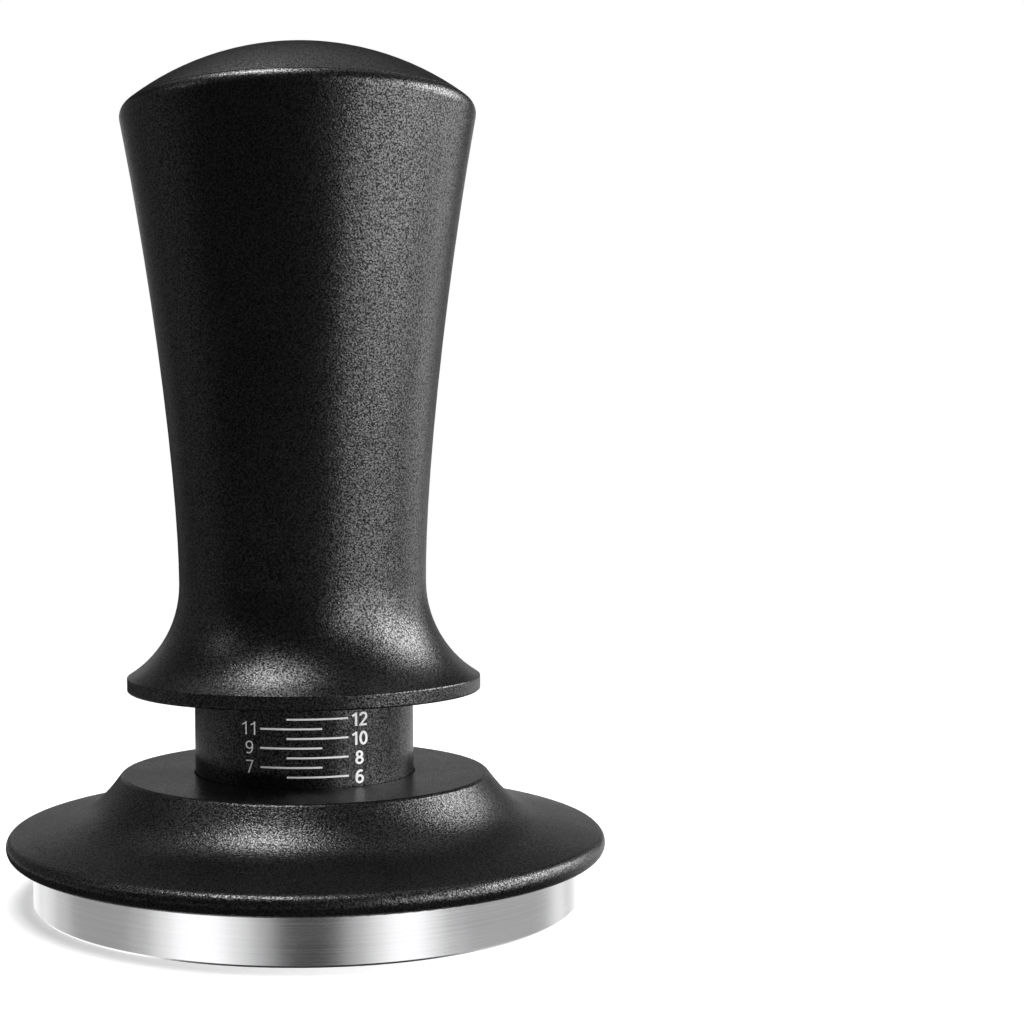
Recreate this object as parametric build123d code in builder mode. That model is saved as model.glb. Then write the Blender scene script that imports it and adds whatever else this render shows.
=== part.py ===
from build123d import *
from math import acos, cos, radians, sin, sqrt
import os

# Spring-loaded espresso tamper. Millimetres, +Z up. The origin is the centre of the tamping
# face, and every height below is measured from that face.

# Driving dimensions
BASE_RADIUS = 29.175  # a 58.35 mm base, for a 58 mm portafilter basket
COLLAR_RADIUS = 32.0
COLLAR_UNDERSIDE = 5.1
COLLAR_TOP = 13.2
COLLAR_TOP_RADIUS = 19.7
NECK_RADIUS = 11.8
SKIRT_RADIUS = 19.05
SKIRT_BOTTOM = 22.1
WAIST_RADIUS = 13.35
WAIST_HEIGHT = 33.5
RIM_RADIUS = 19.25
DOME_RADIUS = 30.2
OVERALL_HEIGHT = 91.3

# Fits, as radial clearances
RUNNING = 0.05
LOOSE = 0.15
THREAD = 0.03

# Broken edges, as chamfers and rounds
FINE_BREAK = 0.25
BUSH_BREAK = 0.3
NECK_BREAK = 0.5
PLUG_LEAD = 0.6
SKIRT_ROUND = 0.18
REST_RING_ROUND = 0.4
TOP_EDGE_ROUND = 0.5

# Steel base
BASE_TOP = 6.0
LAND_TOP = 5.0  # the full-diameter land ends just below the collar
LAND_STEP = 0.4
RIPPLE_COUNT = 18  # crests around the one at the centre
RIPPLE_PITCH = 1.5
RIPPLE_CREST = 0.03  # the crests sit just inside the flat rim of the tamping face
RIPPLE_DEPTH = 0.4
BOSS_RADIUS = 8.0
BOSS_TOP = 11.8

# Neck
NECK_FOOT = 5.0  # the neck stands in a shallow counterbore of the base
NECK_TOP = 30.0
NECK_SHOULDER = 12.0
NECK_BORE = 9.5

# Centre shaft and calibrated spring
SHAFT_RADIUS = 3.0
SHAFT_BOTTOM = 3.5
THREAD_HOLE_BOTTOM = 3.0
SHAFT_TOP = 72.2
SHAFT_THREAD_RADIUS = 4.0
SHAFT_FLANGE_RADIUS = 9.2
SHAFT_FLANGE_TOP = 14.0
SCREW_RADIUS = 2.0
WIRE_RADIUS = 1.2
COIL_RADIUS = 7.25
COIL_PITCH = 5.0
SEAT_THICKNESS = 1.0
SEAT_RADIUS = 9.0
SEAT_SPIGOT = 2.5
SPRING_BOTTOM = SHAFT_FLANGE_TOP + SEAT_THICKNESS
SPRING_TOP = 65.0
SPIGOT_CLEARANCE = 0.25
CENTRING_RADIUS = COIL_RADIUS - WIRE_RADIUS - SPIGOT_CLEARANCE

# Handle interior
SPRING_BORE = 9.2
PLUG_RADIUS = 10.2
PLUG_BOTTOM = 67.0
PLUG_TOP = 71.0
LOCK_RING_TOP = 73.5
CAP_THREAD_RADIUS = 12.5
CAP_SPIGOT_BOTTOM = 77.0
GUIDE_POCKET_RADIUS = 13.0
GUIDE_BOTTOM = 23.5
GUIDE_TOP = 28.5

# Collar interior
BUSH_POCKET_RADIUS = 13.2
BUSH_BOTTOM = 7.6
BUSH_TOP = 12.1
HUB_RADIUS = 18.0
HUB_BOTTOM = 6.55
REST_RING_RADIUS = 16.0
REST_RING_HALF_WIDTH = 0.9
REST_RING_TOP = 6.5


def ring(inner, outer, bottom, top, arc=360, mode=Mode.ADD):
    """A turned ring, or a disc where the inner radius is zero, over this many degrees."""
    with BuildSketch(Plane.XZ) as section:
        with BuildLine():
            Polyline((inner, bottom), (outer, bottom), (outer, top), (inner, top), close=True)
        make_face()
    revolve(section.sketch, axis=Axis.Z, revolution_arc=arc, mode=mode)


def save(piece, name):
    """Label a finished piece and write it as its own STEP file."""
    piece.part.label = name
    export_step(piece.part, f"parts/{name}.step")


os.makedirs("parts", exist_ok=True)

# The base: a ripple-faced steel disc with a central boss that the neck stands over
RIPPLE_MIDDLE = RIPPLE_CREST + RIPPLE_DEPTH / 2
RIPPLE_END = (RIPPLE_COUNT + 0.75) * RIPPLE_PITCH
GASKET_INNER = 8.6
GASKET_OUTER = 10.6
GASKET_BOTTOM = 4.3
with BuildPart() as ripple_base:
    with BuildSketch(Plane.XZ):
        with BuildLine():
            TangentArc(
                (0, RIPPLE_CREST), (RIPPLE_PITCH / 4, RIPPLE_MIDDLE), tangent=(1, 0)
            )
            for n in range(1, 2 * RIPPLE_COUNT + 2):
                radius = n * RIPPLE_PITCH / 2
                ThreePointArc(
                    (radius - RIPPLE_PITCH / 4, RIPPLE_MIDDLE),
                    (radius, RIPPLE_CREST + RIPPLE_DEPTH * (n % 2)),
                    (radius + RIPPLE_PITCH / 4, RIPPLE_MIDDLE),
                )
            Polyline(
                (RIPPLE_END, RIPPLE_MIDDLE),
                (RIPPLE_END, 0),
                (BASE_RADIUS - FINE_BREAK, 0),
                (BASE_RADIUS, FINE_BREAK),
                (BASE_RADIUS, LAND_TOP),
                (BASE_RADIUS - LAND_STEP, LAND_TOP + LAND_STEP),
                (BASE_RADIUS - LAND_STEP, BASE_TOP),
                (BOSS_RADIUS, BASE_TOP),
                (BOSS_RADIUS, BOSS_TOP),
                (0, BOSS_TOP),
                (0, RIPPLE_CREST),
            )
        make_face()
    revolve(axis=Axis.Z)
    ring(BOSS_RADIUS, NECK_RADIUS + RUNNING, NECK_FOOT, BASE_TOP, mode=Mode.SUBTRACT)
    ring(GASKET_INNER, GASKET_OUTER, GASKET_BOTTOM, NECK_FOOT, mode=Mode.SUBTRACT)
    ring(
        REST_RING_RADIUS - REST_RING_HALF_WIDTH,
        REST_RING_RADIUS + REST_RING_HALF_WIDTH,
        LAND_TOP,
        BASE_TOP,
        mode=Mode.SUBTRACT,
    )
    with Locations((0, 0, BOSS_TOP)):
        Hole(SHAFT_THREAD_RADIUS, depth=BOSS_TOP - THREAD_HOLE_BOTTOM)
save(ripple_base, "ripple_base")

# A flat seal between the base and the foot of the neck
with BuildPart() as neck_gasket:
    ring(GASKET_INNER, GASKET_OUTER, GASKET_BOTTOM, NECK_FOOT)
save(neck_gasket, "neck_gasket")

# A soft ring that the collar rests on when the tamper stands upright
with BuildPart() as rest_ring:
    ring(
        REST_RING_RADIUS - REST_RING_HALF_WIDTH,
        REST_RING_RADIUS + REST_RING_HALF_WIDTH,
        LAND_TOP,
        REST_RING_TOP,
    )
    fillet(rest_ring.edges().group_by(Axis.Z)[-1], radius=REST_RING_ROUND)
save(rest_ring, "rest_ring")

# The graduated neck: a tube held down on the base by the flange of the centre shaft
with BuildPart() as scale_neck:
    ring(BOSS_RADIUS + RUNNING, NECK_RADIUS, NECK_FOOT, NECK_TOP)
    ring(BOSS_RADIUS + RUNNING, NECK_BORE, NECK_SHOULDER, NECK_TOP, mode=Mode.SUBTRACT)
    chamfer(scale_neck.edges().group_by(Axis.Z)[-1], length=NECK_BREAK)
save(scale_neck, "scale_neck")

# The centre shaft: threaded into the base, with a flange that clamps the neck
FLANGE_ACROSS_FLATS = 16.0
SCREW_HOLE_DEPTH = 14.0
with BuildPart() as centre_shaft:
    ring(0, SHAFT_THREAD_RADIUS - THREAD, SHAFT_BOTTOM, NECK_SHOULDER)
    ring(0, SHAFT_FLANGE_RADIUS, NECK_SHOULDER, SHAFT_FLANGE_TOP)
    with BuildSketch(Plane.XY.offset(NECK_SHOULDER)):
        Rectangle(4 * SHAFT_FLANGE_RADIUS, 4 * SHAFT_FLANGE_RADIUS)
        Rectangle(4 * SHAFT_FLANGE_RADIUS, FLANGE_ACROSS_FLATS, mode=Mode.SUBTRACT)
    extrude(amount=SHAFT_FLANGE_TOP - NECK_SHOULDER, mode=Mode.SUBTRACT)
    ring(0, SHAFT_RADIUS, SHAFT_FLANGE_TOP, SHAFT_TOP)
    with Locations((0, 0, SHAFT_TOP)):
        Hole(SCREW_RADIUS, depth=SCREW_HOLE_DEPTH)
save(centre_shaft, "centre_shaft")


def spring_seat(flange_bottom, spigot_bottom):
    """A flanged washer whose spigot centres one end of the spring."""
    ring(SHAFT_RADIUS + RUNNING, SEAT_RADIUS, flange_bottom, flange_bottom + SEAT_THICKNESS)
    ring(SHAFT_RADIUS + RUNNING, CENTRING_RADIUS, spigot_bottom, spigot_bottom + SEAT_SPIGOT)


with BuildPart() as lower_spring_seat:
    spring_seat(SHAFT_FLANGE_TOP, SPRING_BOTTOM)
save(lower_spring_seat, "lower_spring_seat")

with BuildPart() as upper_spring_seat:
    spring_seat(SPRING_TOP, SPRING_TOP - SEAT_SPIGOT)
save(upper_spring_seat, "upper_spring_seat")

# The calibrated spring, ground flat at both ends
with BuildPart() as main_spring:
    with BuildLine():
        coil = Helix(
            pitch=COIL_PITCH,
            height=SPRING_TOP - SPRING_BOTTOM + 2 * WIRE_RADIUS,
            radius=COIL_RADIUS,
            center=(0, 0, SPRING_BOTTOM - WIRE_RADIUS),
        )
    with BuildSketch(Plane(origin=coil @ 0, z_dir=coil % 0)):
        Circle(WIRE_RADIUS)
    sweep(path=coil, is_frenet=True)
    with BuildSketch(Plane.XY.offset(SPRING_BOTTOM)):
        Circle(COIL_RADIUS + 2 * WIRE_RADIUS)
    extrude(amount=SPRING_TOP - SPRING_BOTTOM, mode=Mode.INTERSECT)
save(main_spring, "main_spring")

# A low-friction washer that lets the handle turn without winding the spring
THRUST_WASHER_RADIUS = 8.6
with BuildPart() as thrust_washer:
    ring(SHAFT_RADIUS + LOOSE, THRUST_WASHER_RADIUS, SPRING_TOP + SEAT_THICKNESS, PLUG_BOTTOM)
save(thrust_washer, "thrust_washer")

# The preload plug: screwed down inside the handle to set the tamping force
SPANNER_SPREAD = 7.7
SPANNER_RADIUS = 0.9
SPANNER_DEPTH = 2.0
with BuildPart() as preload_plug:
    ring(SHAFT_RADIUS + RUNNING, PLUG_RADIUS - THREAD, PLUG_BOTTOM, PLUG_TOP)
    lower_edge = preload_plug.edges().group_by(Axis.Z)[0].sort_by(Edge.length)[-1]
    chamfer(lower_edge, length=PLUG_LEAD)
    with Locations((SPANNER_SPREAD, 0, PLUG_TOP), (-SPANNER_SPREAD, 0, PLUG_TOP)):
        Hole(SPANNER_RADIUS, depth=SPANNER_DEPTH)
save(preload_plug, "preload_plug")

# The lock ring that jams the preload plug in its setting
LOCK_RING_INNER = 8.6
LOCK_SLOT = 1.6
with BuildPart() as plug_lock_ring:
    ring(LOCK_RING_INNER, PLUG_RADIUS - THREAD, PLUG_TOP, LOCK_RING_TOP)
    with Locations((0, 0, LOCK_RING_TOP)):
        Box(4 * PLUG_RADIUS, LOCK_SLOT, LOCK_SLOT, align=(Align.CENTER, Align.CENTER, Align.MAX),
            mode=Mode.SUBTRACT)
save(plug_lock_ring, "plug_lock_ring")

# The stop at the head of the shaft: a soft bumper under a washer, held by a screw
STOP_WASHER_RADIUS = 8.0
STOP_WASHER_THICKNESS = 1.5
STOP_WASHER_TOP = SHAFT_TOP + STOP_WASHER_THICKNESS
BUMPER_RADIUS = 7.5
BUMPER_GAP = 0.02  # clearance over the plug, which turns under the bumper
SCREW_HEAD_RADIUS = 3.8
SCREW_HEAD_HEIGHT = 2.3
SCREW_HEAD_ROUND = 1.2
SCREW_END_GAP = 2.0
HEX_SOCKET = 2.5
HEX_DEPTH = 1.5
with BuildPart() as stop_bumper:
    ring(SHAFT_RADIUS + RUNNING, BUMPER_RADIUS, PLUG_TOP + BUMPER_GAP, SHAFT_TOP)
save(stop_bumper, "stop_bumper")

with BuildPart() as stop_washer:
    ring(SCREW_RADIUS + RUNNING, STOP_WASHER_RADIUS, SHAFT_TOP, STOP_WASHER_TOP)
    chamfer(stop_washer.edges().group_by(Axis.Z)[-1], length=FINE_BREAK)
save(stop_washer, "stop_washer")

with BuildPart() as stop_screw:
    ring(0, SCREW_RADIUS - THREAD, SHAFT_TOP - SCREW_HOLE_DEPTH + SCREW_END_GAP, STOP_WASHER_TOP)
    ring(0, SCREW_HEAD_RADIUS, STOP_WASHER_TOP, STOP_WASHER_TOP + SCREW_HEAD_HEIGHT)
    fillet(stop_screw.edges().group_by(Axis.Z)[-1], radius=SCREW_HEAD_ROUND)
    with BuildSketch(Plane.XY.offset(STOP_WASHER_TOP + SCREW_HEAD_HEIGHT)):
        RegularPolygon(HEX_SOCKET / 2, 6, major_radius=False)
    extrude(amount=-HEX_DEPTH, mode=Mode.SUBTRACT)
save(stop_screw, "stop_screw")

# The handle's outline. The shoulder rounding is tangent to the dome of the cap, and the
# seam between shell and cap runs where the two meet.
SHOULDER_ROUND = 1.5
SIDE_LEAN = 10.6  # degrees from vertical, where the side meets the shoulder
SKIRT_BAND = 1.45
dome_centre = OVERALL_HEIGHT - DOME_RADIUS
shoulder_centre_radius = RIM_RADIUS - SHOULDER_ROUND
shoulder_centre_rise = sqrt((DOME_RADIUS - SHOULDER_ROUND) ** 2 - shoulder_centre_radius**2)
shoulder_centre = Vector(shoulder_centre_radius, dome_centre + shoulder_centre_rise)
seam_angle = acos(shoulder_centre_rise / (DOME_RADIUS - SHOULDER_ROUND))
seam_radius = DOME_RADIUS * sin(seam_angle)
seam_height = dome_centre + DOME_RADIUS * cos(seam_angle)
lean = radians(SIDE_LEAN)
side_direction = Vector(sin(lean), cos(lean))
side_end = shoulder_centre + SHOULDER_ROUND * Vector(cos(lean), -sin(lean))
shoulder_middle_angle = (radians(90) - seam_angle - lean) / 2
shoulder_middle = shoulder_centre + SHOULDER_ROUND * Vector(
    cos(shoulder_middle_angle), sin(shoulder_middle_angle)
)
WAIST_REACH = 10.0
SIDE_REACH = 20.0
SAME_RADIUS = 0.01  # an edge within this of a radius is taken to have it
SNAP_GROOVE_BOTTOM = 22.75
SNAP_GROOVE_TOP = 23.45
SNAP_GROOVE_DEPTH = 0.6
NECK_BORE_TOP = 33.0
CHAMBER_BOTTOM = 34.2
PLUG_BORE_BOTTOM = 63.0
PLUG_BORE_TOP = 75.0
with BuildPart() as handle_shell:
    with BuildSketch(Plane.XZ):
        with BuildLine():
            Line((SKIRT_RADIUS, SKIRT_BOTTOM), (SKIRT_RADIUS, SKIRT_BOTTOM + SKIRT_BAND))
            TangentArc(
                (WAIST_RADIUS, WAIST_HEIGHT),
                (SKIRT_RADIUS, SKIRT_BOTTOM + SKIRT_BAND),
                tangent=(0, -1),
            )
            Bezier(
                (WAIST_RADIUS, WAIST_HEIGHT),
                (WAIST_RADIUS, WAIST_HEIGHT + WAIST_REACH),
                side_end - SIDE_REACH * side_direction,
                side_end,
            )
            ThreePointArc(side_end, shoulder_middle, (seam_radius, seam_height))
            Polyline(
                (seam_radius, seam_height),
                (CAP_THREAD_RADIUS, seam_height),
                (CAP_THREAD_RADIUS, PLUG_BORE_TOP),
                (PLUG_RADIUS, PLUG_BORE_TOP),
                (PLUG_RADIUS, PLUG_BORE_BOTTOM),
                (SPRING_BORE, PLUG_BORE_BOTTOM),
                (SPRING_BORE, CHAMBER_BOTTOM),
                (NECK_RADIUS + LOOSE, NECK_BORE_TOP),
                (NECK_RADIUS + LOOSE, GUIDE_TOP),
                (GUIDE_POCKET_RADIUS, GUIDE_TOP),
                (GUIDE_POCKET_RADIUS, SKIRT_BOTTOM),
                (SKIRT_RADIUS, SKIRT_BOTTOM),
            )
        make_face()
    revolve(axis=Axis.Z)
    ring(
        GUIDE_POCKET_RADIUS,
        GUIDE_POCKET_RADIUS + SNAP_GROOVE_DEPTH,
        SNAP_GROOVE_BOTTOM,
        SNAP_GROOVE_TOP,
        mode=Mode.SUBTRACT,
    )
    skirt_edges = handle_shell.edges().filter_by(GeomType.CIRCLE)
    skirt_edges = skirt_edges.filter_by(lambda edge: abs(edge.radius - SKIRT_RADIUS) < SAME_RADIUS)
    fillet(skirt_edges, radius=SKIRT_ROUND)
save(handle_shell, "handle_shell")

# The domed cap, screwed into the top of the shell
CAP_CAVITY_RADIUS = 9.5
CAP_CAVITY_TOP = 87.0
CAP_EDGE_BREAK = 0.12
SEAL_WIRE_RADIUS = 0.44
SEAL_CLEARANCE = 0.01
SEAL_END_CLEARANCE = 0.1
SEAL_RING_RADIUS = CAP_THREAD_RADIUS - SEAL_WIRE_RADIUS - SEAL_CLEARANCE
SEAL_HEIGHT = 81.5
SEAL_GROOVE_FLOOR = SEAL_RING_RADIUS - SEAL_WIRE_RADIUS
with BuildPart() as handle_cap:
    with BuildSketch(Plane.XZ):
        with BuildLine():
            RadiusArc((0, OVERALL_HEIGHT), (seam_radius, seam_height), DOME_RADIUS)
            Polyline(
                (seam_radius, seam_height),
                (CAP_THREAD_RADIUS - THREAD, seam_height),
                (CAP_THREAD_RADIUS - THREAD, CAP_SPIGOT_BOTTOM),
                (CAP_CAVITY_RADIUS, CAP_SPIGOT_BOTTOM),
                (CAP_CAVITY_RADIUS, CAP_CAVITY_TOP),
                (0, CAP_CAVITY_TOP),
                (0, OVERALL_HEIGHT),
            )
        make_face()
    revolve(axis=Axis.Z)
    ring(
        SEAL_GROOVE_FLOOR,
        CAP_THREAD_RADIUS,
        SEAL_HEIGHT - SEAL_WIRE_RADIUS - SEAL_END_CLEARANCE,
        SEAL_HEIGHT + SEAL_WIRE_RADIUS + SEAL_END_CLEARANCE,
        mode=Mode.SUBTRACT,
    )
    seam_edge = handle_cap.edges().filter_by(GeomType.CIRCLE).sort_by(Edge.length)[-1]
    chamfer(seam_edge, length=CAP_EDGE_BREAK)
save(handle_cap, "handle_cap")


def o_ring(ring_radius, wire_radius, height):
    """A rubber ring of round section."""
    with Locations((0, 0, height)):
        Torus(ring_radius, wire_radius)


with BuildPart() as cap_seal:
    o_ring(SEAL_RING_RADIUS, SEAL_WIRE_RADIUS, SEAL_HEIGHT)
save(cap_seal, "cap_seal")

# The plastic bush that guides the skirt on the neck, and its open retaining ring
RETAINING_RING_ARC = 340
RETAINING_RING_CLEARANCE = 0.4
with BuildPart() as handle_guide_bush:
    ring(NECK_RADIUS + RUNNING, GUIDE_POCKET_RADIUS - RUNNING, GUIDE_BOTTOM, GUIDE_TOP)
    chamfer(handle_guide_bush.edges(), length=BUSH_BREAK)
save(handle_guide_bush, "handle_guide_bush")

with BuildPart() as guide_retaining_ring:
    ring(
        NECK_RADIUS + RETAINING_RING_CLEARANCE,
        GUIDE_POCKET_RADIUS + SNAP_GROOVE_DEPTH - RUNNING,
        SNAP_GROOVE_BOTTOM + RUNNING,
        SNAP_GROOVE_TOP - RUNNING,
        arc=RETAINING_RING_ARC,
    )
save(guide_retaining_ring, "guide_retaining_ring")

# The levelling collar: a flat top, a steep side that sweeps out into a shallow brim, and a rolled
# lip that sits on the basket rim
LIP_ROUND = 1.1
SWEEP_SLOPE = 54  # degrees below the horizontal, at the top edge
BRIM_SLOPE = 14  # and where the brim meets the lip
SWEEP_REACH = 6.4
BRIM_REACH = 6.5
LIP_JOIN_ANGLE = 90 - BRIM_SLOPE
RECESS_RADIUS = 29.4
RECESS_TOP = 6.2
RECESS_CONE_RADIUS = 26.0
HOLLOW_TOP = 9.0
HOLLOW_OUTER_RADIUS = 21.0
BUSH_GROOVE_BOTTOM = 6.85
BUSH_GROOVE_TOP = 7.55
BUSH_GROOVE_DEPTH = 0.6
lip_centre = Vector(COLLAR_RADIUS - LIP_ROUND, COLLAR_UNDERSIDE + LIP_ROUND)


def heading(angle):
    """A unit step at this angle above the horizontal."""
    return Vector(cos(radians(angle)), sin(radians(angle)))


def lip_point(angle):
    """A point on the rolled lip, at this angle above the horizontal."""
    return lip_centre + LIP_ROUND * heading(angle)


with BuildPart() as levelling_collar:
    with BuildSketch(Plane.XZ):
        with BuildLine():
            sweep_start = Vector(COLLAR_TOP_RADIUS, COLLAR_TOP)
            Bezier(
                sweep_start,
                sweep_start + SWEEP_REACH * heading(-SWEEP_SLOPE),
                lip_point(LIP_JOIN_ANGLE) - BRIM_REACH * heading(-BRIM_SLOPE),
                lip_point(LIP_JOIN_ANGLE),
            )
            ThreePointArc(lip_point(LIP_JOIN_ANGLE), lip_point(0), lip_point(-90))
            Polyline(
                lip_point(-90),
                (RECESS_RADIUS, COLLAR_UNDERSIDE),
                (RECESS_RADIUS, RECESS_TOP),
                (RECESS_CONE_RADIUS, RECESS_TOP),
                (HOLLOW_OUTER_RADIUS, HOLLOW_TOP),
                (HUB_RADIUS, HOLLOW_TOP),
                (HUB_RADIUS, HUB_BOTTOM),
                (BUSH_POCKET_RADIUS, HUB_BOTTOM),
                (BUSH_POCKET_RADIUS, BUSH_TOP),
                (NECK_RADIUS + LOOSE, BUSH_TOP),
                (NECK_RADIUS + LOOSE, COLLAR_TOP),
                sweep_start,
            )
        make_face()
    revolve(axis=Axis.Z)
    ring(
        BUSH_POCKET_RADIUS,
        BUSH_POCKET_RADIUS + BUSH_GROOVE_DEPTH,
        BUSH_GROOVE_BOTTOM,
        BUSH_GROOVE_TOP,
        mode=Mode.SUBTRACT,
    )
    top_edge = levelling_collar.edges().group_by(Axis.Z)[-1].sort_by(Edge.length)[-1]
    fillet(top_edge, radius=TOP_EDGE_ROUND)
save(levelling_collar, "levelling_collar")

# The bush that the collar slides and turns on, with a rubber ring that takes up the rattle
DRAG_WIRE_RADIUS = 0.45
DRAG_RING_RADIUS = NECK_RADIUS + RUNNING + DRAG_WIRE_RADIUS
DRAG_RING_HEIGHT = (BUSH_BOTTOM + BUSH_TOP) / 2
DRAG_END_CLEARANCE = 0.05
with BuildPart() as collar_bush:
    ring(NECK_RADIUS + RUNNING, BUSH_POCKET_RADIUS - RUNNING, BUSH_BOTTOM, BUSH_TOP - RUNNING)
    chamfer(collar_bush.edges(), length=FINE_BREAK)
    ring(
        NECK_RADIUS,
        DRAG_RING_RADIUS + DRAG_WIRE_RADIUS,
        DRAG_RING_HEIGHT - DRAG_WIRE_RADIUS - DRAG_END_CLEARANCE,
        DRAG_RING_HEIGHT + DRAG_WIRE_RADIUS + DRAG_END_CLEARANCE,
        mode=Mode.SUBTRACT,
    )
save(collar_bush, "collar_bush")

with BuildPart() as collar_drag_ring:
    o_ring(DRAG_RING_RADIUS, DRAG_WIRE_RADIUS, DRAG_RING_HEIGHT)
save(collar_drag_ring, "collar_drag_ring")

with BuildPart() as collar_retaining_ring:
    ring(
        NECK_RADIUS + RETAINING_RING_CLEARANCE,
        BUSH_POCKET_RADIUS + BUSH_GROOVE_DEPTH - RUNNING,
        BUSH_GROOVE_BOTTOM + RUNNING,
        BUSH_GROOVE_TOP - RUNNING,
        arc=RETAINING_RING_ARC,
    )
save(collar_retaining_ring, "collar_retaining_ring")
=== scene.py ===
import bpy
from math import cos, degrees, pi, radians, sin, tan
from mathutils import Matrix, Vector


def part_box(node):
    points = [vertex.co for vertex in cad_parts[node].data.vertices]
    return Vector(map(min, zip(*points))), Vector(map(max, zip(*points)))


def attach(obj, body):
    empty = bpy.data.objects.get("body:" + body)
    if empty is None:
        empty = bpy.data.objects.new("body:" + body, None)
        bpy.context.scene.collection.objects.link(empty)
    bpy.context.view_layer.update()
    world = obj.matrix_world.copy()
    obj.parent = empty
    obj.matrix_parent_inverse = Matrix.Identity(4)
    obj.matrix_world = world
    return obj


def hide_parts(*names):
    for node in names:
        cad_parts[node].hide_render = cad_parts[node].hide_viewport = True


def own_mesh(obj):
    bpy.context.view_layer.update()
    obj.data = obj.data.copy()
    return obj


# A spring-loaded espresso tamper, dressed for a studio picture. Metres, +Z up, with the centre
# of the tamping face at the origin. The camera looks along +Y.

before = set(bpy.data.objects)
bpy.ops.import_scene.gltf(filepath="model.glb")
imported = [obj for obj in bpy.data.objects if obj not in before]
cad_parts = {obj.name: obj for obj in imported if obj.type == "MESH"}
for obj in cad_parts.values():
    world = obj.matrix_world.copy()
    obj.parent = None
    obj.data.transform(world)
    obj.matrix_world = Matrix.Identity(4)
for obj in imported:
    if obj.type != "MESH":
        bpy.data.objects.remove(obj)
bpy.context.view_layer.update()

MM = 0.001

spring_low, spring_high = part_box("main_spring")
NECK_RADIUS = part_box("scale_neck")[1].x
COLLAR_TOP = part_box("levelling_collar")[1].z


# Building blocks for materials

def add(tree, kind, inputs=None, **settings):
    """Add a shader node. An input given as a socket is linked, and any other value is set."""
    made = tree.nodes.new("ShaderNode" + kind)
    for name, value in settings.items():
        setattr(made, name, value)
    for key, value in (inputs or {}).items():
        socket = made.inputs[key]
        if isinstance(value, bpy.types.NodeSocket):
            tree.links.new(value, socket)
        else:
            socket.default_value = value
    return made


def maths(tree, operation, *values):
    """One arithmetic node, and the value it gives."""
    return add(tree, "Math", dict(enumerate(values)), operation=operation).outputs[0]


def spread(tree, value, low, high, start=0.0, end=1.0, kind="LINEAR"):
    """Carry a value from the range start..end to the range low..high."""
    inputs = {"Value": value, "From Min": start, "From Max": end, "To Min": low, "To Max": high}
    return add(tree, "MapRange", inputs, interpolation_type=kind).outputs[0]


def noise(tree, place, scale, detail=2.0, roughness=0.5):
    """Smooth noise with this many features to the unit of its place."""
    inputs = {"Vector": place, "Scale": scale, "Detail": detail, "Roughness": roughness}
    return add(tree, "TexNoise", inputs).outputs["Fac"]


def grey(tree, value):
    """A colour with this value in all three channels."""
    return add(tree, "CombineColor", {0: value, 1: value, 2: value}).outputs[0]


def millimetres(tree):
    """The place on the object, in millimetres."""
    place = add(tree, "TexCoord").outputs["Object"]
    scaled = add(tree, "VectorMath", {0: place, "Scale": 1 / MM}, operation="SCALE")
    return scaled.outputs["Vector"]


def turned_place(tree, lines):
    """A place for noise that runs round the centre line: it changes with radius and height, at this
    many features to the millimetre, and only slowly with the angle."""
    split = add(tree, "SeparateXYZ", {0: millimetres(tree)})
    x, y, z = split.outputs
    radius = maths(tree, "SQRT", maths(tree, "ADD", maths(tree, "MULTIPLY", x, x),
                                       maths(tree, "MULTIPLY", y, y)))
    around_x = maths(tree, "DIVIDE", x, radius)
    along = maths(tree, "MULTIPLY", maths(tree, "ADD", radius, z), lines)
    across = maths(tree, "MULTIPLY", maths(tree, "SUBTRACT", radius, z), lines)
    return add(tree, "CombineXYZ", {0: around_x, 1: along, 2: across}).outputs[0]


def new_material(name, build):
    """A material whose surface is what build returns for its node tree."""
    material = bpy.data.materials.new(name)
    material.use_nodes = True
    tree = material.node_tree
    tree.nodes.clear()
    surface = build(tree)
    add(tree, "OutputMaterial", {"Surface": surface})
    return material


# Materials

# Features to the millimetre
BEADS = 6.0
FINE_GRAIN = 15.0
GLINTS = 5.2
DRIFT = 0.09
TURNED_LINES = 5.0


def blasted_black(grain_depth):
    """Black anodised aluminium, blasted with beads: soft bumps about a sixth of a millimetre wide."""

    def build(tree):
        place = millimetres(tree)
        beads = noise(tree, place, BEADS, detail=1.0, roughness=0.4)
        fine = noise(tree, place, FINE_GRAIN, detail=1.0)
        drift = noise(tree, place, DRIFT, detail=3.0)
        glints = noise(tree, place, GLINTS, detail=1.5, roughness=0.6)
        height = maths(tree, "ADD", beads, maths(tree, "MULTIPLY", fine, 0.15))
        bump = add(tree, "Bump", {"Height": height, "Strength": 1.0, "Distance": grain_depth * MM})
        shade = maths(tree, "MULTIPLY", spread(tree, drift, 0.85, 1.15, 0.3, 0.7),
                      spread(tree, beads, 0.0015, 0.0040, 0.3, 0.7))
        rough = maths(tree, "ADD", spread(tree, drift, -0.03, 0.03, 0.3, 0.7),
                      spread(tree, beads, 0.33, 0.27, 0.3, 0.7))
        inputs = {
            "Base Color": grey(tree, shade),
            "Roughness": rough,
            "Specular IOR Level": spread(tree, glints, 0.10, 0.96, 0.40, 0.62),
            "Normal": bump.outputs[0],
            "IOR": 1.52,
        }
        return add(tree, "BsdfPrincipled", inputs).outputs[0]

    return build


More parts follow.
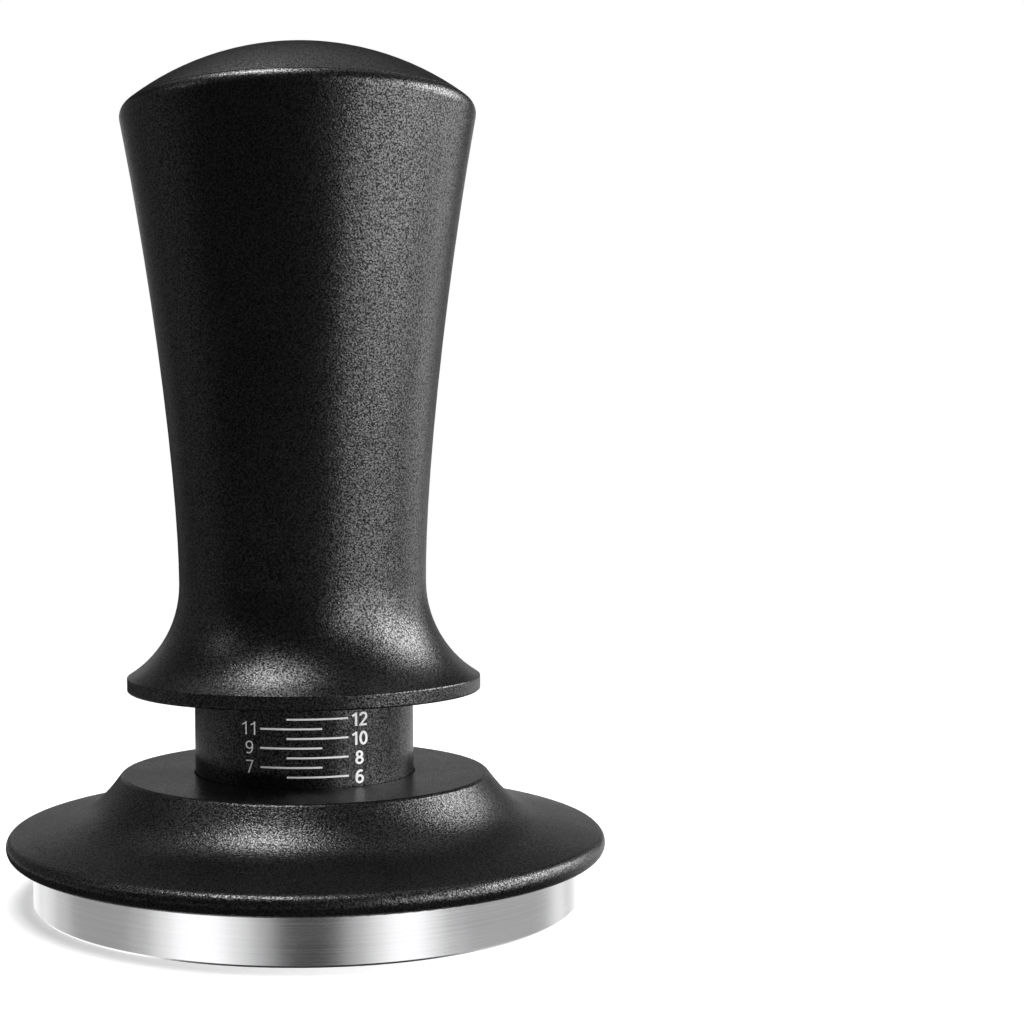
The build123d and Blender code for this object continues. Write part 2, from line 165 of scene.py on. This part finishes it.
def turned_metal(tint, roughness, groove_depth, anisotropy):
    """Metal finished on a lathe, with fine lines running round the centre line."""

    def build(tree):
        place = turned_place(tree, TURNED_LINES)
        lines = noise(tree, place, 1.0, detail=4.0, roughness=0.6)
        smear = noise(tree, millimetres(tree), 0.12, detail=2.0)
        bump = add(tree, "Bump", {"Height": lines, "Strength": 1.0, "Distance": groove_depth * MM})
        level = maths(tree, "MULTIPLY", spread(tree, lines, 0.96, 1.04, 0.3, 0.7),
                      spread(tree, smear, 0.97, 1.03, 0.3, 0.7))
        colour = add(tree, "VectorMath", {0: tint, "Scale": level}, operation="SCALE")
        rough = maths(tree, "ADD", spread(tree, lines, -0.02, 0.02, 0.3, 0.7),
                      spread(tree, smear, roughness - 0.015, roughness + 0.015, 0.3, 0.7))
        tangent = add(tree, "Tangent", direction_type="RADIAL", axis="Z")
        inputs = {
            "Base Color": colour.outputs["Vector"],
            "Metallic": 1.0,
            "Roughness": rough,
            "Anisotropic": anisotropy,
            "Tangent": tangent.outputs[0],
            "Normal": bump.outputs[0],
        }
        return add(tree, "BsdfPrincipled", inputs).outputs[0]

    return build


def moulded(shade, roughness, grain_scale, grain_depth):
    """Moulded plastic, rubber or paint, with a faint grain."""

    def build(tree):
        place = millimetres(tree)
        grain = noise(tree, place, grain_scale, detail=3.0)
        drift = noise(tree, place, 0.2, detail=2.0)
        level = spread(tree, drift, 0.92, 1.08, 0.3, 0.7)
        colour = add(tree, "VectorMath", {0: shade, "Scale": level}, operation="SCALE")
        bump = add(tree, "Bump", {"Height": grain, "Strength": 1.0, "Distance": grain_depth * MM})
        inputs = {
            "Base Color": colour.outputs["Vector"],
            "Roughness": spread(tree, grain, roughness - 0.05, roughness + 0.05, 0.3, 0.7),
            "Normal": bump.outputs[0],
        }
        return add(tree, "BsdfPrincipled", inputs).outputs[0]

    return build


FINISHES = {
    "handle_black": blasted_black(0.028),
    "collar_black": blasted_black(0.032),
    "neck_black": blasted_black(0.020),
    "turned_steel": turned_metal((0.70, 0.70, 0.71), 0.2, 0.0006, 0.4),
    "shaft_steel": turned_metal((0.60, 0.60, 0.61), 0.25, 0.002, 0.5),
    "spring_steel": turned_metal((0.45, 0.45, 0.46), 0.3, 0.001, 0.2),
    "ring_steel": turned_metal((0.30, 0.30, 0.31), 0.35, 0.002, 0.3),
    "plug_brass": turned_metal((0.80, 0.58, 0.28), 0.25, 0.002, 0.5),
    "guide_polymer": moulded((0.62, 0.60, 0.55), 0.5, 6.0, 0.004),
    "bumper_rubber": moulded((0.02, 0.02, 0.02), 0.65, 5.0, 0.01),
    "rest_silicone": moulded((0.05, 0.05, 0.05), 0.55, 5.0, 0.008),
}
PAINT = new_material("scale_paint", moulded((0.86, 0.86, 0.86), 0.45, 8.0, 0.002))
finished = {name: new_material("finish_" + name, build) for name, build in FINISHES.items()}
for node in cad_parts.values():
    for place, old in enumerate(node.data.materials):
        node.data.materials[place] = finished[old.name.split(".")[0]]


# Pieces made here

def piece(name, vertices, faces, material, body):
    """A new mesh piece that rides on a body."""
    mesh = bpy.data.meshes.new(name)
    mesh.from_pydata(vertices, [], faces)
    mesh.materials.append(material)
    mesh.validate()
    made = bpy.data.objects.new(name, mesh)
    bpy.context.scene.collection.objects.link(made)
    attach(made, body)
    return made


def tube(sections, loop=False):
    """Vertices and faces of a skin over equal rings of points, with flat ends unless it is a loop."""
    count = len(sections[0])
    vertices = [point for section in sections for point in section]
    faces = []
    for row in range(len(sections) if loop else len(sections) - 1):
        first = row * count
        second = (row + 1) % len(sections) * count
        for k in range(count):
            after = (k + 1) % count
            faces.append((first + k, first + after, second + after, second + k))
    if not loop:
        last = (len(sections) - 1) * count
        faces.append(tuple(reversed(range(count))))
        faces.append(tuple(range(last, last + count)))
    return vertices, faces


# The main spring: a coil with closed ends, ground flat
SPRING_WIRE_RADIUS = 1.2 * MM
SPRING_GROUND = 0.5 * SPRING_WIRE_RADIUS  # from a ground end to the middle of its wire
SPRING_CLOSED_TURNS = 1.0
SPRING_ACTIVE_TURNS = 9.5
SPRING_STEPS = 40
SPRING_SIDES = 20
SPRING_SHARP = 40  # degrees: only the ground ends stay sharp


def spring_rise(turn):
    """Height of the wire's centre above the coil's start, in metres, after this many turns."""
    closed_rise = 2 * SPRING_WIRE_RADIUS
    length = spring_high.z - spring_low.z - 2 * SPRING_GROUND
    active_rise = (length - 2 * SPRING_CLOSED_TURNS * closed_rise) / SPRING_ACTIVE_TURNS
    first = min(turn, SPRING_CLOSED_TURNS) * closed_rise
    middle = min(max(turn - SPRING_CLOSED_TURNS, 0), SPRING_ACTIVE_TURNS) * active_rise
    last = max(turn - SPRING_CLOSED_TURNS - SPRING_ACTIVE_TURNS, 0) * closed_rise
    return first + middle + last


def build_spring():
    """The coil's skin, with both ends cut flat where the seats bear."""
    coil_radius = spring_high.x - SPRING_WIRE_RADIUS
    turns = SPRING_ACTIVE_TURNS + 2 * SPRING_CLOSED_TURNS
    sections = []
    for step in range(round(turns * SPRING_STEPS) + 1):
        turn = step / SPRING_STEPS
        angle = 2 * pi * turn
        height = spring_low.z + SPRING_GROUND + spring_rise(turn)
        section = []
        for k in range(SPRING_SIDES):
            around = 2 * pi * k / SPRING_SIDES
            radius = coil_radius + SPRING_WIRE_RADIUS * cos(around)
            z = height + SPRING_WIRE_RADIUS * sin(around)
            z = min(max(z, spring_low.z), spring_high.z)
            section.append((radius * cos(angle), radius * sin(angle), z))
        sections.append(section)
    vertices, faces = tube(sections)
    coil = piece("main_spring_coil", vertices, faces, finished["spring_steel"], "base")
    coil.data.shade_smooth()
    coil.data.set_sharp_from_angle(angle=radians(SPRING_SHARP))
    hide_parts("main_spring")
    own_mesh(coil)


build_spring()

# The printed scale on the neck: one long line to each number, a little under a millimetre apart,
# numbered on the side that the line reaches further round to
SCALE_FIRST = 6
SCALE_LAST = 12
SCALE_FIRST_HEIGHT = COLLAR_TOP + 1.2 * MM
SCALE_PITCH = 0.98 * MM
EVEN_DROP = 0.18 * MM
LINE_THICKNESS = 0.19 * MM
LINE_FROM = -8.8
LINE_TO = 22.4
NUMBER_ANGLE = 28.5
NUMBER_HEIGHT = 1.36 * MM
BOLD_STROKE = 0.22 * MM
FINE_STROKE = 0.12 * MM
PRINT_BELOW = 0.02 * MM
PRINT_ABOVE = 0.02 * MM
LINE_STEPS = 24
BOW_STEPS = 20
SAME_POINT = 0.001  # a stroke whose ends are this close is a loop
SHARPEST_TURN = 0.6  # keeps a stroke from growing long points at its corners


def on_neck(angle, height, lift):
    """A point on the neck, at degrees to the right of the front, this far proud of the surface."""
    radius = NECK_RADIUS + lift
    return (radius * sin(radians(angle)), -radius * cos(radians(angle)), height)


def printed_line(start, end, height):
    """One graduation line, as a thin closed band."""
    sections = []
    for step in range(LINE_STEPS + 1):
        angle = start + (end - start) * step / LINE_STEPS
        half = LINE_THICKNESS / 2
        sections.append([
            on_neck(angle, height - half, -PRINT_BELOW),
            on_neck(angle, height - half, PRINT_ABOVE),
            on_neck(angle, height + half, PRINT_ABOVE),
            on_neck(angle, height + half, -PRINT_BELOW),
        ])
    return tube(sections)


def bow(x, y, wide, tall, start=0, end=360):
    """Points along an oval about x, y, from one angle to another in degrees."""
    angles = [radians(start + (end - start) * k / BOW_STEPS) for k in range(BOW_STEPS + 1)]
    return [(x + wide * cos(angle), y + tall * sin(angle)) for angle in angles]


# The middle lines of the figures' strokes, in a box one high
FIGURE_WIDTH = 0.56
FIGURE_GAP = 0.04
FIGURE_STRETCH = 1.22
FIGURES = {
    "0": [bow(0.28, 0.5, 0.22, 0.44)],
    "1": [[(0.36, 0.0), (0.36, 1.0)], [(0.10, 0.74), (0.36, 0.92)]],
    "2": [bow(0.28, 0.70, 0.22, 0.24, 170, -35) + [(0.07, 0.06), (0.52, 0.06)]],
    "6": [bow(0.28, 0.32, 0.22, 0.26), bow(0.34, 0.48, 0.28, 0.46, 195, 60)],
    "7": [[(0.04, 0.94), (0.50, 0.94), (0.20, 0.0)]],
    "8": [bow(0.28, 0.73, 0.18, 0.21), bow(0.28, 0.28, 0.22, 0.22)],
}
FIGURES["9"] = [[(FIGURE_WIDTH - x, 1 - y) for x, y in stroke] for stroke in FIGURES["6"]]


def ribbon(path, half_width):
    """The two edges of a stroke along a path, as pairs of points, and whether it is a loop."""
    points = [Vector(point) for point in path]
    loop = (points[0] - points[-1]).length < SAME_POINT
    if loop:
        points.pop()
    edges = []
    for k, point in enumerate(points):
        before = points[k - 1] if k or loop else point
        after = points[(k + 1) % len(points)] if k + 1 < len(points) or loop else point
        inward, onward = (point - before), (after - point)
        inward = inward.normalized() if inward.length else onward.normalized()
        onward = onward.normalized() if onward.length else inward
        along = (inward + onward).normalized()
        across = Vector((-along.y, along.x)) * half_width / max(along.dot(onward), SHARPEST_TURN)
        edges.append((point - across, point + across))
    return edges, loop


def printed_number(name, text, angle, height, stroke_width):
    """A number printed on the neck, centred at this angle and height."""
    width = len(text) * FIGURE_WIDTH + (len(text) - 1) * FIGURE_GAP
    vertices, faces = [], []
    for place, figure in enumerate(text):
        start = place * (FIGURE_WIDTH + FIGURE_GAP) - width / 2
        for path in FIGURES[figure]:
            edges, loop = ribbon(path, stroke_width / NUMBER_HEIGHT / 2)
            sections = []
            for pair in edges:
                low, high = [
                    (angle + degrees((start + point.x) * FIGURE_STRETCH * NUMBER_HEIGHT / NECK_RADIUS),
                     height + (point.y - 0.5) * NUMBER_HEIGHT)
                    for point in pair
                ]
                sections.append([on_neck(*low, -PRINT_BELOW), on_neck(*low, PRINT_ABOVE),
                                 on_neck(*high, PRINT_ABOVE), on_neck(*high, -PRINT_BELOW)])
            more_vertices, more_faces = tube(sections, loop)
            shift = len(vertices)
            vertices += more_vertices
            faces += [tuple(shift + k for k in reversed(face)) for face in more_faces]
    piece(name, vertices, faces, PAINT, "base")


def build_scale():
    """Even numbers stand to the right and are bold, and odd ones stand to the left."""
    for number in range(SCALE_FIRST, SCALE_LAST + 1):
        height = SCALE_FIRST_HEIGHT + (number - SCALE_FIRST) * SCALE_PITCH
        side = -1 if number % 2 else 1
        vertices, faces = printed_line(side * LINE_FROM, side * LINE_TO, height)
        if side < 0:
            faces = [tuple(reversed(face)) for face in faces]
        piece(f"scale_line_{number:02d}", vertices, faces, PAINT, "base")
        stroke_width, drop = (FINE_STROKE, 0) if number % 2 else (BOLD_STROKE, EVEN_DROP)
        printed_number(f"scale_number_{number:02d}", str(number), side * NUMBER_ANGLE,
                       height - drop, stroke_width)


build_scale()


# The floor: pale, fading into the white backdrop away from the tamper. The view from underneath
# passes through it, and reflections see only a dimmed ring of it.
FLOOR_HALF = 1.5
FLOOR_FADE_START = 0.10
FLOOR_FADE_END = 0.28
FLOOR_GLOW = 0.6
REFLECTED_FROM = (0.065, 0.080)
REFLECTED_TO = (0.085, 0.115)
REFLECTION_LOSS = 0.45  # how much of the ring reflections lose


def floor_surface(tree):
    geometry = add(tree, "NewGeometry")
    rays = add(tree, "LightPath")
    place = geometry.outputs["Position"]
    distance = add(tree, "VectorMath", {0: place}, operation="LENGTH").outputs["Value"]
    fade = spread(tree, distance, 0.0, 1.0, FLOOR_FADE_START, FLOOR_FADE_END, "SMOOTHSTEP")
    mottle = noise(tree, place, 60.0, detail=4.0)
    shade = grey(tree, spread(tree, mottle, 0.80, 0.82, 0.3, 0.7))
    matt = add(tree, "BsdfDiffuse", {"Color": shade}).outputs[0]
    glow = add(tree, "Emission", {"Color": shade, "Strength": FLOOR_GLOW}).outputs[0]
    lit = add(tree, "AddShader", {0: matt, 1: glow}).outputs[0]
    clear = add(tree, "BsdfTransparent").outputs[0]
    inner = spread(tree, distance, 1.0, 0.0, *REFLECTED_FROM, "SMOOTHSTEP")
    outer = spread(tree, distance, 0.0, 1.0, *REFLECTED_TO, "SMOOTHSTEP")
    outside = maths(tree, "MAXIMUM", maths(tree, "MAXIMUM", inner, outer), REFLECTION_LOSS)
    unseen = maths(tree, "MULTIPLY", outside, rays.outputs["Is Glossy Ray"])
    hidden = maths(tree, "MAXIMUM", fade, geometry.outputs["Backfacing"])
    for part in (unseen, rays.outputs["Is Shadow Ray"]):
        hidden = maths(tree, "MAXIMUM", hidden, part)
    return add(tree, "MixShader", {0: hidden, 1: lit, 2: clear}).outputs[0]


def build_floor():
    mesh = bpy.data.meshes.new("floor")
    h = FLOOR_HALF
    mesh.from_pydata([(-h, -h, 0), (h, -h, 0), (h, h, 0), (-h, h, 0)], [], [(0, 1, 2, 3)])
    mesh.materials.append(new_material("floor_pale", floor_surface))
    floor = bpy.data.objects.new("floor", mesh)
    bpy.context.scene.collection.objects.link(floor)


build_floor()


# Light. The backdrop is white where the camera sees it. Reflections see soft panels instead, placed
# by their bearing from the front, in degrees to the right, and their height above the horizon.

def panel(tree, bearing, height, centre, half_width, level, half_height, soft):
    """One soft panel: 1 in the middle, falling to 0 over the soft margin."""
    turn = maths(tree, "WRAP", maths(tree, "SUBTRACT", bearing, centre), 180.0, -180.0)
    sideways = spread(tree, maths(tree, "ABSOLUTE", turn), 1.0, 0.0,
                      half_width - soft, half_width + soft, "SMOOTHSTEP")
    upward = spread(tree, maths(tree, "ABSOLUTE", maths(tree, "SUBTRACT", height, level)), 1.0, 0.0,
                    half_height - soft, half_height + soft, "SMOOTHSTEP")
    return maths(tree, "MULTIPLY", sideways, upward)


# bearing, half width, height, half height, soft margin, radiance
PANELS = [
    (180, 24, 9, 5, 3, 0.60),
    (180, 62, 62, 18, 10, 0.34),
    (150, 30, -14, 12, 8, 0.7),
]
DARK = 0.04


def build_world():
    world = bpy.data.worlds.new("studio")
    bpy.context.scene.world = world
    world.use_nodes = True
    tree = world.node_tree
    tree.nodes.clear()
    direction = add(tree, "TexCoord").outputs["Generated"]
    x, y, z = add(tree, "SeparateXYZ", {0: direction}).outputs
    to_degrees = degrees(1)
    bearing = maths(tree, "MULTIPLY", maths(tree, "ARCTAN2", x, maths(tree, "MULTIPLY", y, -1.0)),
                    to_degrees)
    height = maths(tree, "MULTIPLY", maths(tree, "ARCSINE", z), to_degrees)
    total = DARK
    for centre, half_width, level, half_height, soft, radiance in PANELS:
        share = panel(tree, bearing, height, centre, half_width, level, half_height, soft)
        total = maths(tree, "MULTIPLY_ADD", share, radiance, total)
    around = add(tree, "Background", {"Color": grey(tree, total), "Strength": 1.0}).outputs[0]
    white = add(tree, "Background", {"Color": (1, 1, 1, 1), "Strength": 1.0}).outputs[0]
    seen = add(tree, "LightPath").outputs["Is Camera Ray"]
    mixed = add(tree, "MixShader", {0: seen, 1: around, 2: white}).outputs[0]
    add(tree, "OutputWorld", {"Surface": mixed})


build_world()


LIGHT_CENTRE = Vector((0, 0, 0.03))


def softbox(name, bearing, height, distance, size, radiance, only=None):
    """A soft rectangular light, placed by its bearing and its height above the horizon in degrees,
    facing the tamper. With a piece named in only, it lights nothing else."""
    light = bpy.data.lights.new(name, "AREA")
    light.shape = "RECTANGLE"
    light.size, light.size_y = size
    light.energy = radiance * pi * light.size * light.size_y
    lamp = bpy.data.objects.new(name, light)
    away = Vector((cos(radians(height)) * sin(radians(bearing)),
                   -cos(radians(height)) * cos(radians(bearing)), sin(radians(height))))
    lamp.location = LIGHT_CENTRE + away * distance
    lamp.rotation_mode = "QUATERNION"
    lamp.rotation_quaternion = away.to_track_quat("Z", "Y")
    lamp.visible_camera = False
    bpy.context.scene.collection.objects.link(lamp)
    if only:
        lit = bpy.data.collections.new(name + "_lights")
        lit.objects.link(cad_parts[only])
        lamp.light_linking.receiver_collection = lit


# bearing, height, distance, size, radiance
SOFTBOXES = {
    "right_front_softbox": (60, 14, 0.36, (0.34, 0.26), 4.5),
    "right_back_softbox": (107, 8, 0.36, (0.30, 0.18), 1.7),
    "right_upper_softbox": (99, 28, 0.40, (0.31, 0.15), 9.0),
    "left_upper_softbox": (-80, 37, 0.40, (0.09, 0.09), 2.2),
    "overhead_softbox": (-73, 78, 0.42, (0.15, 0.15), 17.0),
    "left_fill": (-97, 10, 0.40, (0.30, 0.30), 0.14),
    "left_back_softbox": (-140, 12, 0.42, (0.22, 0.25), 0.12),
}
# The steel's own lights, each a stack of boxes on one bearing, so that its edges are soft:
# bearing, half widths in degrees, radiance
STEEL_LIGHTS = {
    "left": (-42, (11, 20, 29), 0.50),
    "right": (39, (8, 15, 24), 0.50),
    "left_side": (-104, (32,), 0.37),
    "right_side": (97, (33,), 0.42),
    "back_left": (-158, (14, 24, 34, 46), 0.30),
    "back_right": (168, (14, 22, 30), 0.28),
}
STEEL_LIGHT_HEIGHT = -32
STEEL_LIGHT_TALL = 0.50
STEEL_LIGHT_DISTANCE = 0.45
STEEL_LIGHT_SPACING = 0.01


def build_lights():
    for name, place_and_size in SOFTBOXES.items():
        softbox(name, *place_and_size)
    for name, (bearing, half_widths, radiance) in STEEL_LIGHTS.items():
        for layer, half_width in enumerate(half_widths):
            distance = STEEL_LIGHT_DISTANCE + STEEL_LIGHT_SPACING * layer
            size = (2 * distance * tan(radians(half_width)), STEEL_LIGHT_TALL)
            softbox(f"steel_{name}_{layer}", bearing, STEEL_LIGHT_HEIGHT, distance, size, radiance,
                    only="ripple_base")


build_lights()


# The camera, square to the tamper, with its lens shifted so that the tamper stands left of centre
CAMERA_HOME = Vector((0, -186.26, 45.27)) * MM
CAMERA_ROLL = 0.011  # radians
CAMERA_LENS = 60.43  # millimetres, as the sensor
CAMERA_SENSOR = 36
SHIFT_RIGHT = 0.2057  # in picture widths, as the shift up
SHIFT_UP = -0.0376
AT_HOME = 0.00001  # a camera within this of its home place stands at home


def shift_at_home(camera, field, amount):
    """Shift the lens only while the camera stands at home, so that other views are centred."""
    driver = camera.data.driver_add(field).driver
    driver.type = "SCRIPTED"
    tests = []
    for axis in "yz":
        variable = driver.variables.new()
        variable.name = axis
        variable.type = "SINGLE_PROP"
        variable.targets[0].id = camera
        variable.targets[0].data_path = f"location.{axis}"
        tests.append(f"abs({axis} - ({getattr(CAMERA_HOME, axis):.6f})) < {AT_HOME:.5f}")
    driver.expression = f"{amount} if {tests[0]} and {tests[1]} else 0"


def build_camera():
    data = bpy.data.cameras.new("camera")
    data.lens = CAMERA_LENS
    data.sensor_width = CAMERA_SENSOR
    data.clip_start = 0.01
    data.clip_end = 10
    camera = bpy.data.objects.new("camera", data)
    turn = Matrix.Rotation(radians(90), 4, "X") @ Matrix.Rotation(-CAMERA_ROLL, 4, "Z")
    camera.matrix_world = Matrix.Translation(CAMERA_HOME) @ turn
    bpy.context.scene.collection.objects.link(camera)
    shift_at_home(camera, "shift_x", SHIFT_RIGHT)
    shift_at_home(camera, "shift_y", SHIFT_UP)
    bpy.context.scene.camera = camera


build_camera()
bpy.context.scene.view_settings.view_transform = "Standard"
